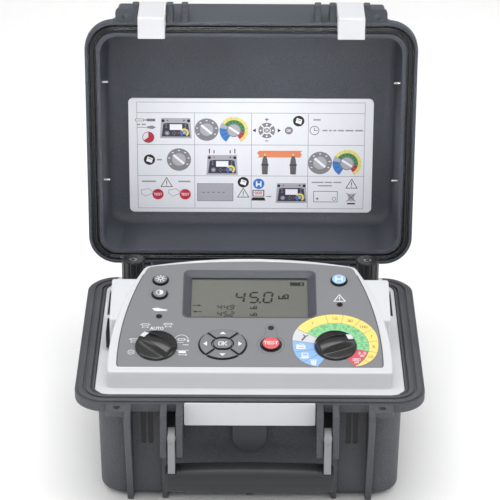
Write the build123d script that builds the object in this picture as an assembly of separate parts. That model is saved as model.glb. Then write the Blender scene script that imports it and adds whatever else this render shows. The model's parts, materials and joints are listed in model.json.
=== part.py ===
"""Digital low-resistance tester in a hinged carrying case, as separate named pieces. Millimetres.

+X is the user's right, +Y points back to the hinge, +Z is up. The origin is on the ground, under the
centre of the case's rim. The lid, its latches and its seal are built closed and then swung open.
"""
import os
from math import cos, radians, sin

from build123d import *

# ---- case ----
RIM_X, RIM_Y, RIM_R = 157.5, 124.0, 28.0        # half width, half depth and corner radius of the rim
RIM_TOP, FLANGE_H = 112.0, 10.5
WALL_X, WALL_Y, WALL_R = 138.0, 104.5, 22.0     # outer wall under the rim
WALL_T, DRAFT = 4.0, 1.8                        # wall thickness; how much the wall leans in at its foot
CASE_FLOOR, FOOT_R = 3.0, 6.0                  # underside of the shell above the ground; its edge radius
RIB_FACE, RIB_TOP = -143.7, 110.0               # front face and top of the ribs at the front
OUTER_RIB, MIDDLE_RIB, INNER_RIB, RIB_W, RIB_EDGE = 108.5, 76.5, 62.5, 6.0, 0.8
LUG_HOLE_R, LUG_X = 3.1, 118.0
BOSS_R, BOSS_Z = 15.4, 69.0

# ---- hinge and lid ----
HINGE_Y, HINGE_Z, OPEN_DEG = 131.4, 117.0, 92.4
KNUCKLE_R, PIN_R, PIN_PLAY = 5.5, 2.0, 0.06
HINGE_X, KNUCKLE_LEN, HINGE_LEN = 85.0, 23.0, 49.0
STOP_X, STOP_W = 30.0, 14.0
LID_BASE, LID_TOP, LID_FLANGE = 112.3, 181.0, 11.0
LID_INSET, LID_OPEN_X, LID_OPEN_Y, LID_DEPTH = 10.5, 143.0, 109.5, 65.0
LID_SLOPE = 3.0                                 # inward lean of the lid's walls over their height
FASCIA_X, FASCIA_Y = 127.7, 123.5
CARD_X, CARD_LOW, CARD_HIGH, CARD_T = 120.5, -24.5, 96.3, 0.8

# ---- latches ----
LATCH_X, LATCH_W, LATCH_FACE = 92.5, 25.0, -141.5
LATCH_PIN_Y, LATCH_PIN_Z, LATCH_BARREL_R = -131.0, 124.0, 5.0
LATCH_END, LATCH_LIP, LATCH_T = 73.1, 20.7, 3.0

# ---- handle ----
PIVOT_Y, PIVOT_Z, PIVOT_R = -136.0, 82.0, 2.5
ARM_X, ARM_W, ARM_END = 69.5, 6.5, 51.5
GRIP_X, GRIP_Y, GRIP_Z, GRIP_DEEP, GRIP_TALL = 75.4, -138.0, 41.0, 22.0, 29.0

# ---- instrument panel ----
PANEL_X, PANEL_Y, PANEL_R, PANEL_LOW, PANEL_HIGH = 139.5, 108.0, 12.0, 108.0, 111.0
DECK_Y, DECK_Z, DECK_TILT, SKIN = -94.6, 128.0, 15.0, 3.2
SHELF_X, SHELF_FRONT, SHELF_BACK, SHELF_Z = 129.0, 24.0, 104.0, 122.0
WING_X, WING_LOW, WING_HIGH, WING_DROP = 129.3, 67.7, 124.3, 0.6
OVERLAY_LOW, OVERLAY_DEEP, OVERLAY_PROUD = 4.5, 0.6, 0.2
POST_X, POST_Y = 122.0, 88.0                    # moulded posts that the case screws pull down

# ---- controls, placed on the deck as (x, distance up the slope) ----
MODE_AT, RANGE_AT = (-85.0, 31.2), (77.6, 32.4)
KNOB_R, KNOB_TOP_R, KNOB_SKIRT, KNOB_H, BAR_END_H = 19.4, 17.6, 2.6, 9.0, 6.2
MODE_POINTS, RANGE_POINTS = 52.0, -68.0         # where each pointer stands, from straight up the slope
SHAFT_R, SWITCH_R = 3.0, 12.0
BUTTONS = {"backlight_button": (-83.8, 120.5, 6.8), "contrast_button": (-84.0, 101.2, 6.8),
           "save_button": (82.9, 120.8, 7.0), "test_button": (19.0, 33.8, 8.2)}
PAD_AT, PAD_R, PAD_HOLE, PAD_GAP = (-24.8, 33.4), 21.2, 10.0, 1.0
PAD_SQUASH = 0.9                                # height of the oval pad against its width
OK_R, OK_WIDE = 6.3, 4.6                        # the oval key: end radius and what it adds in width
BUTTON_TOP, PLAY = 2.6, 0.35
LEDS = ((-83.7, 71.0), (82.8, 87.8), (19.1, 56.0))
LED_R = 2.3
DISPLAY = (-0.6, 102.2, 62.0, 32.8)             # centre and half sizes of the display's recess
WINDOW = (-0.6, 100.0, 54.2, 28.6, 4.0)         # centre, half sizes and depth of the clear window
BOARD_N = -24.0                                 # underside of the main board below the deck

# ---- terminals and sockets ----
TERMINAL_X, TERMINAL_Y, CAP_R, CAP_LOW, CAP_TOP = 112.0, 77.0, 11.0, 128.0, 154.3
STUD_R, SOCKET_R, SOCKET_DEEP = 4.0, 2.0, 20.0
POTENTIAL_X, POTENTIAL_Y, SOCKET_BODY_R, SOCKET_TOP = 42.0, 84.0, 6.5, 138.0
INLET_Y, INLET_Z, INLET_WIDE, INLET_TALL, INLET_OUT = -12.0, 121.5, 28.0, 16.0, 133.0
USB_Y, USB_Z, USB_WIDE, USB_TALL = -8.0, 121.0, 12.0, 11.0

os.makedirs("parts", exist_ok=True)
deck_place = Plane(origin=(0, DECK_Y, DECK_Z), x_dir=(1, 0, 0),
                   z_dir=(0, -sin(radians(DECK_TILT)), cos(radians(DECK_TILT)))).location
lid_open = Pos(0, HINGE_Y, HINGE_Z) * Rot(-OPEN_DEG, 0, 0) * Pos(0, -HINGE_Y, -HINGE_Z)


def save(name, *solids):
    """Write one piece, or a group of identical pieces, to its own file."""
    shape = solids[0] if len(solids) == 1 else Compound(children=list(solids))
    export_step(shape, f"parts/{name}.step")


def slab(half_x, half_y, radius, low, high):
    """Upright plate with rounded corners, centred on the origin."""
    return extrude(Pos(0, 0, low) * RectangleRounded(2 * half_x, 2 * half_y, radius), high - low)


def tapered(low_x, low_y, low_r, low, high_x, high_y, high_r, high):
    return loft([Pos(0, 0, low) * RectangleRounded(2 * low_x, 2 * low_y, low_r),
                 Pos(0, 0, high) * RectangleRounded(2 * high_x, 2 * high_y, high_r)])


def ring(outer, inner, low, high):
    """Band along the rim between two distances in from its outer edge."""
    outside = slab(RIM_X - outer, RIM_Y - outer, RIM_R - outer, low, high)
    return outside - slab(RIM_X - inner, RIM_Y - inner, RIM_R - inner, low, high)


def block(x0, x1, y0, y1, z0, z1):
    return Pos((x0 + x1) / 2, (y0 + y1) / 2, (z0 + z1) / 2) * Box(x1 - x0, y1 - y0, z1 - z0)


def profile(points, x_centre, width, soft=0.0):
    """Plate across X whose side outline is given as (y, z) points, with all its edges eased by soft."""
    face = make_face(Polyline([(0, y, z) for y, z in points], close=True))
    plate = extrude(face, width, dir=(1, 0, 0))
    if soft:
        plate = fillet(plate.edges(), soft)
    return Pos(x_centre - width / 2, 0, 0) * plate


def rod(radius, x_centre, y, z, length):
    return Pos(x_centre, y, z) * Rot(0, 90, 0) * Cylinder(radius, length)


def post(radius, x, y, low, high):
    return Pos(x, y, (low + high) / 2) * Cylinder(radius, high - low)


def both_sides(shape):
    return [shape, mirror(shape, Plane.YZ)]


def side_pair(maker, x):
    return [maker(-x), maker(x)]


# ---------------------------------------------------------------- case base
def rim_lug(side, low, high, reach, hole_y):
    """Padlock eye beside the outer rib."""
    plate = block(OUTER_RIB, 127.8, reach, -120, low, high)
    corner = plate.edges().filter_by(Axis.Z).sort_by(lambda e: e.center().X - e.center().Y)[-1]
    plate = fillet(corner, 5) - post(LUG_HOLE_R, LUG_X, hole_y, low - 1, high + 1)
    return plate if side > 0 else mirror(plate, Plane.YZ)


def hinge_knuckles(centre, arm, inner, outer):
    """Two barrels on one arm outline, each side of the middle knuckle."""
    found = []
    for side in (-1, 1):
        middle = centre + side * (inner + outer) / 2
        found += [profile(arm, middle, outer - inner),
                  rod(KNUCKLE_R, middle, HINGE_Y, HINGE_Z, outer - inner)]
    return found


def make_case_base():
    low_x, low_y = WALL_X - DRAFT, WALL_Y - DRAFT
    wall = tapered(low_x, low_y, WALL_R, CASE_FLOOR, WALL_X, WALL_Y, WALL_R, RIM_TOP - FLANGE_H)
    wall = fillet(wall.faces().sort_by(Axis.Z)[0].edges(), FOOT_R)
    rim = slab(RIM_X, RIM_Y, RIM_R, RIM_TOP - FLANGE_H, RIM_TOP)
    rim = fillet(rim.faces().sort_by(Axis.Z)[0].edges(), 1.5)
    base = wall + rim
    outer_rib = [(RIB_FACE, RIB_TOP), (RIB_FACE, 103), (-107, 0), (-94, 0), (-94, RIB_TOP)]
    short_rib = [(RIB_FACE, RIB_TOP), (RIB_FACE, 67), (-140.5, 63.5), (-100, 63.5), (-100, RIB_TOP)]
    thin_rib = [(-119, 66), (-105, 0), (-94, 0), (-94, 66)]
    for side in (-1, 1):
        base += profile(outer_rib, side * OUTER_RIB, RIB_W, RIB_EDGE)
        base += profile(short_rib, side * MIDDLE_RIB, RIB_W, RIB_EDGE)
        base += profile(short_rib, side * INNER_RIB, RIB_W, RIB_EDGE)
        base += profile(thin_rib, side * (MIDDLE_RIB + 0.5), 5, RIB_EDGE)
        for rail, width in ((OUTER_RIB, RIB_W), (MIDDLE_RIB + 0.5, 5)):
            base += block(side * rail - width / 2, side * rail + width / 2, -98, 98, 0, 8)
        rear_rib = [(94, 0), (103, 0), (120, 90), (120, 104), (94, 104)]
        base += profile(rear_rib, side * OUTER_RIB, RIB_W, RIB_EDGE)
        base += rim_lug(side, 104.5, RIB_TOP, -138.0, -130.0)
    base += block(-3, 3, -98, 98, 0, 8)
    base += block(-59.5, 59.5, -RIM_Y, -100, 88.5, 102)
    base += extrude(Pos(0, -110.5, BOSS_Z) * Rot(90, 0, 0) * Circle(BOSS_R), -12)
    base += block(-BOSS_R, BOSS_R, -110.5, -100, BOSS_Z, 89)
    knuckle_arm = [(118, 101.5), (118, 111.5), (124.5, 111.5), (126.3, 117), (136.5, 117),
                   (136.5, 112), (128, 101.5)]
    for side in (-1, 1):
        for piece in hinge_knuckles(side * HINGE_X, knuckle_arm, KNUCKLE_LEN / 2 + 0.5, HINGE_LEN / 2):
            base += piece
        stop = [(118, 101.5), (118, 108), (136, 108), (140, 123.1), (151, 122.6), (151, 116), (131, 101.5)]
        base += profile(stop, side * STOP_X, STOP_W)
    cavity = tapered(low_x - WALL_T, low_y - WALL_T, WALL_R - WALL_T, CASE_FLOOR + WALL_T,
                     WALL_X - WALL_T, WALL_Y - WALL_T, WALL_R - WALL_T, RIM_TOP + 1)
    base -= fillet(cavity.faces().sort_by(Axis.Z)[0].edges(), 7)
    base -= slab(PANEL_X + 0.5, PANEL_Y + 0.5, PANEL_R + 0.5, PANEL_LOW - 1, RIM_TOP + 1)
    base -= ring(0, 2.5, RIM_TOP - 1.8, RIM_TOP + 1)
    base -= ring(7, 10, RIM_TOP - 1.6, RIM_TOP + 1)
    base -= ring(14, 15.5, RIM_TOP - 2.5, RIM_TOP + 1)
    base -= ring(15.5, 16.5, RIM_TOP - 0.7, RIM_TOP + 1)
    for side in (-1, 1):
        base -= rod(PIN_R, side * HINGE_X, HINGE_Y, HINGE_Z, HINGE_LEN + 2)
        base -= rod(PIVOT_R, side * ARM_X, PIVOT_Y, PIVOT_Z, 17)
        for groove in (-3.25, 3.25):
            centre = side * LATCH_X + groove
            base -= block(centre - 2.1, centre + 2.1, -106.5, -103, 60, RIM_TOP - FLANGE_H)
            base -= Pos(centre, -104.75, 60) * Rot(90, 0, 0) * Cylinder(2.1, 3.5)
        for y in (-POST_Y, POST_Y):
            base -= post(2.2, side * POST_X, y, -1, 10)
            base -= post(4.2, side * POST_X, y, -1, CASE_FLOOR + 1.5)
    return base


# ---------------------------------------------------------------- lid
def make_case_lid():
    side_x, side_y = RIM_X - LID_INSET, RIM_Y - LID_INSET
    shoulder = LID_BASE + LID_FLANGE
    wall = tapered(side_x, side_y, WALL_R, shoulder, side_x - LID_SLOPE, side_y - LID_SLOPE, WALL_R, LID_TOP)
    wall = fillet(wall.faces().sort_by(Axis.Z)[-1].edges(), 13)
    flange = slab(RIM_X, RIM_Y, RIM_R, LID_BASE, shoulder)
    flange = fillet(flange.faces().sort_by(Axis.Z)[-1].edges(), 2)
    lid = fillet(flange.faces().sort_by(Axis.Z)[0].edges(), 0.7) + wall
    fascia = block(-FASCIA_X, FASCIA_X, -FASCIA_Y, -100, shoulder - 2, LID_TOP - 4)
    fascia = fillet(fascia.edges().filter_by(Axis.X).sort_by(lambda e: e.center().Z - e.center().Y)[-1], 8)
    fascia = fillet(fascia.edges().filter_by(Axis.Z).sort_by(Axis.Y)[:2], 3)
    lid += fascia
    rib = [(-141, LID_BASE + 0.7), (-141, 122), (-134, 132), (-122, 152), (-112, 152),
           (-112, LID_BASE + 0.7)]
    for side in (-1, 1):
        for x in (OUTER_RIB, MIDDLE_RIB, INNER_RIB):
            lid += profile(rib, side * x, RIB_W, RIB_EDGE)
        lid += rim_lug(side, LID_BASE + 2, LID_BASE + 7.5, -136.5, -129.0)
        arm = [(118, LID_BASE + 0.7), (118, 122), (131.4, 122.5), (131.4, 111.5), (124.6, LID_BASE + 0.7)]
        lid += profile(arm, side * HINGE_X, KNUCKLE_LEN)
        lid += rod(KNUCKLE_R, side * HINGE_X, HINGE_Y, HINGE_Z, KNUCKLE_LEN)
        lid += block(side * STOP_X - 4, side * STOP_X + 4, 108, 124.7, shoulder - 3, 137)
        for x in (OUTER_RIB, MIDDLE_RIB - 4):
            lid += block(side * x - 2.5, side * x + 2.5, 105, 116.5, shoulder - 2, 160)
    inner_x, inner_y, floor_z = LID_OPEN_X, LID_OPEN_Y, LID_BASE + LID_DEPTH
    hollow = tapered(inner_x, inner_y, 17, LID_BASE, inner_x - 3.2, inner_y - 3.2, 17, floor_z)
    lid -= fillet(hollow.faces().sort_by(Axis.Z)[-1].edges(), 9.5)
    lid -= ring(3, 11, LID_BASE - 1, LID_BASE + 4)
    for side in (-1, 1):
        lid -= rod(PIN_R + PIN_PLAY, side * HINGE_X, HINGE_Y, HINGE_Z, KNUCKLE_LEN + 2)
        lid -= rod(PIN_R, side * LATCH_X, LATCH_PIN_Y, LATCH_PIN_Z, LATCH_W + 13)
        for y in (-60.0, 40.5):
            lid -= rod(1.15, side * 142, y, LID_BASE + 12, 8)
    return lid


def make_latch(x):
    """Draw latch: barrel, long plate, a lip at the free end and a tooth that hooks under the rim."""
    inner = LATCH_FACE + LATCH_T
    outline = [(LATCH_FACE, LATCH_END), (LATCH_FACE, 121), (-138, 127.5), (-131, 129), (-131, 119),
               (inner, 115), (inner, 100), (-125, 100), (-125, 96), (inner, 94),
               (inner, LATCH_END + LATCH_T), (LATCH_FACE + LATCH_LIP, LATCH_END + LATCH_T),
               (LATCH_FACE + LATCH_LIP, LATCH_END)]
    body = profile(outline, x, LATCH_W) + rod(LATCH_BARREL_R, x, LATCH_PIN_Y, LATCH_PIN_Z, LATCH_W)
    cheek = [(LATCH_FACE, LATCH_END), (LATCH_FACE, 98), (-131, 98), (LATCH_FACE + LATCH_LIP, 80),
             (LATCH_FACE + LATCH_LIP, LATCH_END)]
    for side in (-1, 1):
        body += profile(cheek, x + side * (LATCH_W / 2 - 1), 2)
    corners = body.edges().filter_by(Axis.X).sort_by(lambda e: e.center().Y + e.center().Z)
    body = fillet(corners[0], 2.0)
    face_edges = [e for e in body.edges().filter_by(Axis.Z) if abs(e.center().Y - LATCH_FACE) < 0.1]
    body = fillet(face_edges, 0.8)
    return body - rod(PIN_R + PIN_PLAY, x, LATCH_PIN_Y, LATCH_PIN_Z, LATCH_W + 2)


# ---------------------------------------------------------------- handle
def make_arm(x):
    outline = [(-147, 82), (-147, ARM_END), (-139.5, ARM_END), (-139.5, 60), (-126, 74), (-126, 82)]
    arm = profile(outline, x, ARM_W) + rod(10, x, PIVOT_Y - 0.5, PIVOT_Z, ARM_W)
    arm = fillet([e for e in arm.edges().filter_by(Axis.Z) if e.center().Y < -146.5], 0.8)
    return arm - rod(PIVOT_R + PIN_PLAY, x, PIVOT_Y, PIVOT_Z, ARM_W + 2)


def make_grip():
    grip = Pos(0, GRIP_Y, GRIP_Z) * Box(2 * GRIP_X, GRIP_DEEP, GRIP_TALL)
    grip = fillet(grip.edges().filter_by(Axis.X), 9)
    grip = fillet(grip.faces().filter_by(Axis.X).edges(), 2)
    for x in (-ARM_X, ARM_X):
        grip -= profile([(-150, ARM_END), (-139.5, ARM_END), (-139.5, 60), (-150, 60)], x, ARM_W)
    return grip


# ---------------------------------------------------------------- instrument panel
def deck_outline(half, top, side_r, top_r, bottom, corner, foot_corner):
    """Bowed outline in the deck's own plane: two side arcs, a crowned top and a straight front."""
    outline = Pos(0, bottom + 100) * Rectangle(400, 200)
    for side in (-1, 1):
        outline &= Pos(side * (half - side_r), 12) * Circle(side_r)
    outline &= Pos(0, top - top_r) * Circle(top_r)
    corners = outline.vertices().sort_by(Axis.Y)
    outline = fillet(corners[-2:], corner)
    return fillet(outline.vertices().sort_by(Axis.Y)[:2], foot_corner)


def border_outline(inset=0.0):
    return deck_outline(128.4 - inset, 153 - inset, 295 - inset, 420 - inset, -2.4 + inset, 9, 4)


def overlay_outline(inset=0.0):
    return deck_outline(119.9 - inset, 147.5 - inset, 350, 560, OVERLAY_LOW + inset, 8, 2.5)


def wing_outline(inset=0.0):
    height = WING_HIGH - WING_LOW - 2 * inset
    return Pos(0, (WING_HIGH + WING_LOW) / 2) * RectangleRounded(2 * (WING_X - inset), height, 2.5)


def upright(outline, drop):
    """Solid with upright walls under an outline on the deck, cut level at the flange's underside."""
    face = Pos(0, 0, -drop) * deck_place * outline
    solid = extrude(face.faces()[0], 90, dir=(0, 0, -1))
    return solid & block(-200, 200, -200, 200, PANEL_LOW, 200)


def on_deck(shape):
    return deck_place * shape


def deck_slab(outline, low, high):
    return on_deck(extrude(Pos(0, 0, low) * outline, high - low))


def deck_post(radius, at, low, high):
    return on_deck(Pos(at[0], at[1], (low + high) / 2) * Cylinder(radius, high - low))


def control_holes(low, high):
    """What the knobs' shafts, the buttons, the lights and the display need through the skin."""
    x, s, half_x, half_s = DISPLAY
    holes = [deck_slab(Pos(x, s) * RectangleRounded(2 * half_x, 2 * half_s, 6), low, high),
             deck_slab(Pos(*PAD_AT) * Ellipse(PAD_R + PLAY, (PAD_R + PLAY) * PAD_SQUASH), low, high)]
    holes += [deck_post(SHAFT_R + 1, at, low, high) for at in (MODE_AT, RANGE_AT)]
    holes += [deck_post(r + PLAY, (bx, bs), low, high) for bx, bs, r in BUTTONS.values()]
    return holes + [deck_post(LED_R, at, low, high) for at in LEDS]


def make_front_panel():
    raised = upright(border_outline(), 0)
    raised = fillet(raised.faces().sort_by(lambda f: f.center().Z - 0.3 * f.center().Y)[-1].edges(), 1.6)
    wings = upright(wing_outline(), WING_DROP)
    wings = fillet(wings.faces().sort_by(lambda f: f.center().Z - 0.3 * f.center().Y)[-1].edges(), 1.4)
    shelf = block(-SHELF_X, SHELF_X, SHELF_FRONT, SHELF_BACK, PANEL_LOW, SHELF_Z)
    shelf = fillet(shelf.edges().filter_by(Axis.Z), 5)
    shelf = fillet(shelf.faces().sort_by(Axis.Z)[-1].edges(), 2)
    flange = slab(PANEL_X, PANEL_Y, PANEL_R, PANEL_LOW, PANEL_HIGH)
    flange = fillet(flange.faces().sort_by(Axis.Z)[-1].edges(), 1)
    panel = flange + raised + wings + shelf
    panel -= upright(border_outline(3), SKIN)
    panel -= upright(wing_outline(3), SKIN)
    panel -= block(3 - SHELF_X, SHELF_X - 3, SHELF_FRONT + 3, SHELF_BACK - 3, PANEL_LOW - 1, SHELF_Z - 3)
    panel -= deck_slab(overlay_outline(), -OVERLAY_DEEP, 5)
    for hole in control_holes(-12, 5):
        panel -= hole
    for side in (-1, 1):
        panel -= post(STUD_R, side * TERMINAL_X, TERMINAL_Y, 100, 130)
        panel -= block(side * 134.6 - 1.4, side * 134.6 + 1.4, 44, 95, 100, 120)
        for y in (-POST_Y, POST_Y):
            panel += post(5, side * POST_X, y, 12, 119 if y > 0 else 124)
            panel -= post(1.6, side * POST_X, y, 11, 30)
    for x in (-POTENTIAL_X, 0, POTENTIAL_X):
        panel -= post(SOCKET_BODY_R - 1, x, POTENTIAL_Y, 100, 130)
    half, tall = INLET_WIDE / 2, INLET_TALL / 2
    panel -= block(-135, -120, INLET_Y - half, INLET_Y + half, INLET_Z - tall, INLET_Z + tall)
    half, tall = USB_WIDE / 2, USB_TALL / 2
    panel -= block(118, 135, USB_Y - half, USB_Y + half, USB_Z - tall, USB_Z + tall)
    return panel


def make_overlay():
    sheet = deck_slab(overlay_outline(0.1), -OVERLAY_DEEP, OVERLAY_PROUD)
    for hole in control_holes(-5, 5):
        sheet -= hole
    return sheet


def make_display_frame():
    x, s, half_x, half_s = DISPLAY
    wx, ws, wide, tall, deep = WINDOW
    frame = extrude(Pos(x, s, -12) * RectangleRounded(2 * half_x - 0.1, 2 * half_s - 0.1, 6), 12.4)
    mouth = loft([Pos(wx, ws, -deep) * RectangleRounded(2 * wide, 2 * tall, 2),
                  Pos(x, s, 0.4) * RectangleRounded(2 * half_x - 2.5, 2 * half_s - 2.5, 5)])
    frame -= mouth
    frame -= Pos(wx, ws, -12) * Box(2 * wide + 4, 2 * tall + 3, 2 * (12 - deep))
    return on_deck(frame)


def window_layer(margin, low, high):
    wx, ws, wide, tall, _ = WINDOW
    return on_deck(Pos(wx, ws, (low + high) / 2) * Box(2 * wide + margin, 2 * tall + margin - 1, high - low))


# ---------------------------------------------------------------- controls
def make_knob(at, points):
    """Pointer knob: a low tapered skirt and an arched bar across it, with a seat for its pointer."""
    skirt = Pos(0, 0, 0.5 + KNOB_SKIRT / 2) * Cone(KNOB_R, KNOB_TOP_R, KNOB_SKIRT)
    hub = Pos(0, 0, 0.5 + (KNOB_SKIRT + 1) / 2) * Cylinder(11, KNOB_SKIRT + 1)
    bar = extrude(Pos(0, 0, 1) * SlotOverall(34.5, 9, rotation=90), KNOB_H - 1)
    rise = KNOB_H - BAR_END_H
    arch_r = (17.25 ** 2 + rise ** 2) / (2 * rise)
    bar &= Pos(0, 0, KNOB_H - arch_r) * Rot(0, 90, 0) * Cylinder(arch_r, 20)
    knob = skirt + hub + bar - Pos(0, 0, 4) * Cylinder(SHAFT_R, 8)
    knob -= pointer_seat()
    return on_deck(Pos(at[0], at[1], 0) * Rot(0, 0, points) * knob)


def pointer_seat():
    """Block at the bar's end, under the arch, that the white pointer fills."""
    return Pos(0, 13.4, BAR_END_H) * Box(6.4, 4.6, 1.6)


def make_pointer(at, points):
    return on_deck(Pos(at[0], at[1], 0) * Rot(0, 0, points) * pointer_seat())


def make_shaft(at, _):
    return deck_post(SHAFT_R, at, -15, 8)


def make_switch_body(at):
    body = deck_post(SWITCH_R, at, BOARD_N + 1.6, -9) + deck_post(5, at, -9, -3.5)
    return body - deck_post(SHAFT_R + 0.06, at, -16, 0)


def make_button(x, s, radius):
    """Round key with a collar that keeps it under the skin and a stem for its switch."""
    cap = Pos(0, 0, (BUTTON_TOP - 4.5) / 2) * Cylinder(radius, BUTTON_TOP + 4.5)
    cap = fillet(cap.edges().filter_by(GeomType.CIRCLE).sort_by(Axis.Z)[-1], 1.2)
    cap += Pos(0, 0, -5.2) * Cylinder(radius + 1.2, 1.4)
    cap += Pos(0, 0, -7) * Cylinder(2, 3)
    return on_deck(Pos(x, s) * cap)


def make_pad_key(turn):
    """Quarter of the oval ring-shaped pad."""
    oval = Ellipse(PAD_R, PAD_R * PAD_SQUASH) - Ellipse(PAD_HOLE, PAD_HOLE * PAD_SQUASH)
    side = 2 * PAD_R - 2 * PAD_GAP
    quarter = oval & Rot(0, 0, turn + 45) * Pos(PAD_R, PAD_R) * Rectangle(side, side)
    key = extrude(Pos(0, 0, -4.5) * quarter, 4.5 + 1.6)
    key = chamfer(key.faces().sort_by(Axis.Z)[-1].edges(), 0.5)
    middle = 15.5 if turn % 180 else 15.5 * PAD_SQUASH
    key += Rot(0, 0, turn) * Pos(0, middle, -6.5) * Cylinder(2, 4)
    return on_deck(Pos(*PAD_AT) * key)


def make_ok_key():
    key = extrude(Pos(0, 0, -4.5) * SlotCenterToCenter(OK_WIDE, 2 * OK_R), 4.5 + 1.9)
    key = fillet(key.faces().sort_by(Axis.Z)[-1].edges(), 0.8) + Pos(0, 0, -6.5) * Cylinder(2, 4)
    return on_deck(Pos(PAD_AT[0], PAD_AT[1]) * key)


def make_tact_switch(x, s):
    body = Pos(0, 0, -18.2) * Box(7, 7, 8.4) + Pos(0, 0, -12.1) * Cylinder(1.7, 4)
    return on_deck(Pos(x, s) * body)


# ---------------------------------------------------------------- terminals
def make_cap(x):
    """Fluted screw cap, open right through for the stud."""
    outline = Circle(CAP_R)
    for index in range(12):
        outline -= Rot(0, 0, 30 * index + 15) * Pos(CAP_R + 0.7, 0) * Circle(1.7)
    cap = extrude(Pos(x, TERMINAL_Y, CAP_LOW) * outline, CAP_TOP - CAP_LOW)
    cap = chamfer(cap.faces().sort_by(Axis.Z)[-1].edges(), 0.7)
    return cap - post(STUD_R + 0.06, x, TERMINAL_Y, CAP_LOW - 1, CAP_TOP + 1)


def make_stud(x):
    stud = post(STUD_R, x, TERMINAL_Y, 92, 153.8)
    nut = Pos(x, TERMINAL_Y, 113) * extrude(RegularPolygon(7.5, 6), 6)
    return stud + nut - post(SOCKET_R, x, TERMINAL_Y, 153.8 - SOCKET_DEEP, 155)


def make_socket(x):
    body = post(SOCKET_BODY_R, x, POTENTIAL_Y, SHELF_Z, SOCKET_TOP)
    body = fillet(body.edges().filter_by(GeomType.CIRCLE).sort_by(Axis.Z)[-1], 1.2)
    body += post(SOCKET_BODY_R - 1, x, POTENTIAL_Y, 106, SHELF_Z)
    return body - post(SOCKET_R, x, POTENTIAL_Y, SOCKET_TOP - SOCKET_DEEP, SOCKET_TOP + 1)


def make_inlet():
    half, tall = INLET_WIDE / 2, INLET_TALL / 2
    body = block(-INLET_OUT, -112, INLET_Y - half, INLET_Y + half, INLET_Z - tall, INLET_Z + tall)
    body -= block(-INLET_OUT - 1, -119, INLET_Y - 11.5, INLET_Y + 11.5, INLET_Z - 5.5, INLET_Z + 5.5)
    for y in (-5.0, 5.0):
        body += rod(1.2, -123.5, INLET_Y + y, INLET_Z, 10)
    return body


def make_usb():
    body = block(114, 129.3, USB_Y - USB_WIDE / 2, USB_Y + USB_WIDE / 2, USB_Z - USB_TALL / 2, USB_Z + USB_TALL / 2)
    body -= block(120, 131, USB_Y - 4.25, USB_Y + 4.25, USB_Z - 3.9, USB_Z + 3.9)
    return body + block(119, 127, USB_Y - 3, USB_Y + 3, USB_Z - 4.2, USB_Z - 2.2)


# ---------------------------------------------------------------- internals
def make_transformer():
    core = block(-118, -68, 28, 78, 20, 42)
    return core + block(-108, -78, 36, 70, 7, 54)


def make_heat_sink():
    sink = block(-52, 2, 22, 84, 7, 11)
    for index in range(8):
        x = -51 + index * 7
        sink += block(x, x + 2, 22, 84, 11, 34)
    return sink


def make_battery_bracket():
    outside = block(-12, 12, -90, 8, 7, 45)
    return outside - block(-13, 13, -88, 6, 6, 43)


def make_ribbon():
    route = [(60, 23.6), (61, 23.6), (39, 40.5), (31, 100), (25, 134.6), (24.2, 134.4), (30.2, 100), (38.2, 40)]
    return profile(route, 40, 24)


save("case_base", make_case_base())
save("name_plate", fillet(block(-58.5, 58.5, -126, -124, 89.5, 111.5).edges().filter_by(Axis.Y), 1.5))
save("hinge_pins", *side_pair(lambda x: rod(PIN_R, x, HINGE_Y, HINGE_Z, HINGE_LEN), HINGE_X))
save("handle_pins", *side_pair(lambda x: rod(PIVOT_R, x, PIVOT_Y, PIVOT_Z, 16), ARM_X))
save("case_lid", lid_open * make_case_lid())
save("lid_seal", lid_open * ring(4.5, 9, LID_BASE + 0.1, LID_BASE + 4))
card = Pos(0, (CARD_LOW + CARD_HIGH) / 2, LID_BASE + LID_DEPTH - CARD_T)
card_face = RectangleRounded(2 * CARD_X, CARD_HIGH - CARD_LOW, 5)
save("instruction_card", lid_open * card * extrude(card_face, CARD_T))
save("lid_side_pins", *[lid_open * rod(1.15, side * 140.5, y, LID_BASE + 12, 8)
                        for side in (-1, 1) for y in (-60.0, 40.5)])
save("latch_pins", *[lid_open * pin for pin in side_pair(
    lambda x: rod(PIN_R, x, LATCH_PIN_Y, LATCH_PIN_Z, LATCH_W + 13), LATCH_X)])
save("latch_left", lid_open * make_latch(-LATCH_X))
save("latch_right", lid_open * make_latch(LATCH_X))
save("handle_grip", make_grip())
save("handle_arm_left", make_arm(-ARM_X))
save("handle_arm_right", make_arm(ARM_X))

save("front_panel", make_front_panel())
gasket = slab(PANEL_X, PANEL_Y, PANEL_R, PANEL_LOW - 1, PANEL_LOW)
save("panel_gasket", gasket - slab(PANEL_X - 4, PANEL_Y - 4, PANEL_R - 3, PANEL_LOW - 2, PANEL_LOW + 1))
save("case_screws", *[post(4, x, y, CASE_FLOOR + 0.2, CASE_FLOOR + 1.5) + post(1.6, x, y, CASE_FLOOR + 1.5, 29)
                      for x in (-POST_X, POST_X) for y in (-POST_Y, POST_Y)])
save("control_overlay", make_overlay())
save("display_frame", make_display_frame())
save("display_window", window_layer(3, -5.2, -4.0))
save("lcd_module", window_layer(2, -10, -5.2))
save("backlight_board", window_layer(2, -11.8, -10))
board = on_deck(Pos(0, 68, BOARD_N + 0.8) * Box(188, 112, 1.6))
save("main_circuit_board", board)
save("board_standoffs", *[deck_post(3, at, BOARD_N + 1.6, -3.4)
                          for at in ((-88, 16), (88, 16), (-70, 118), (70, 118))])
save("power_supply_board", block(12, 114, 20, 92, 22, 23.6))
save("transformer", make_transformer())
save("battery_pack", fillet(block(-76, 75, -87, 5, 7, 42).edges().filter_by(Axis.Z), 2))
save("battery_bracket", make_battery_bracket())
save("heat_sink", make_heat_sink())
save("ribbon_cable", make_ribbon())
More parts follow.
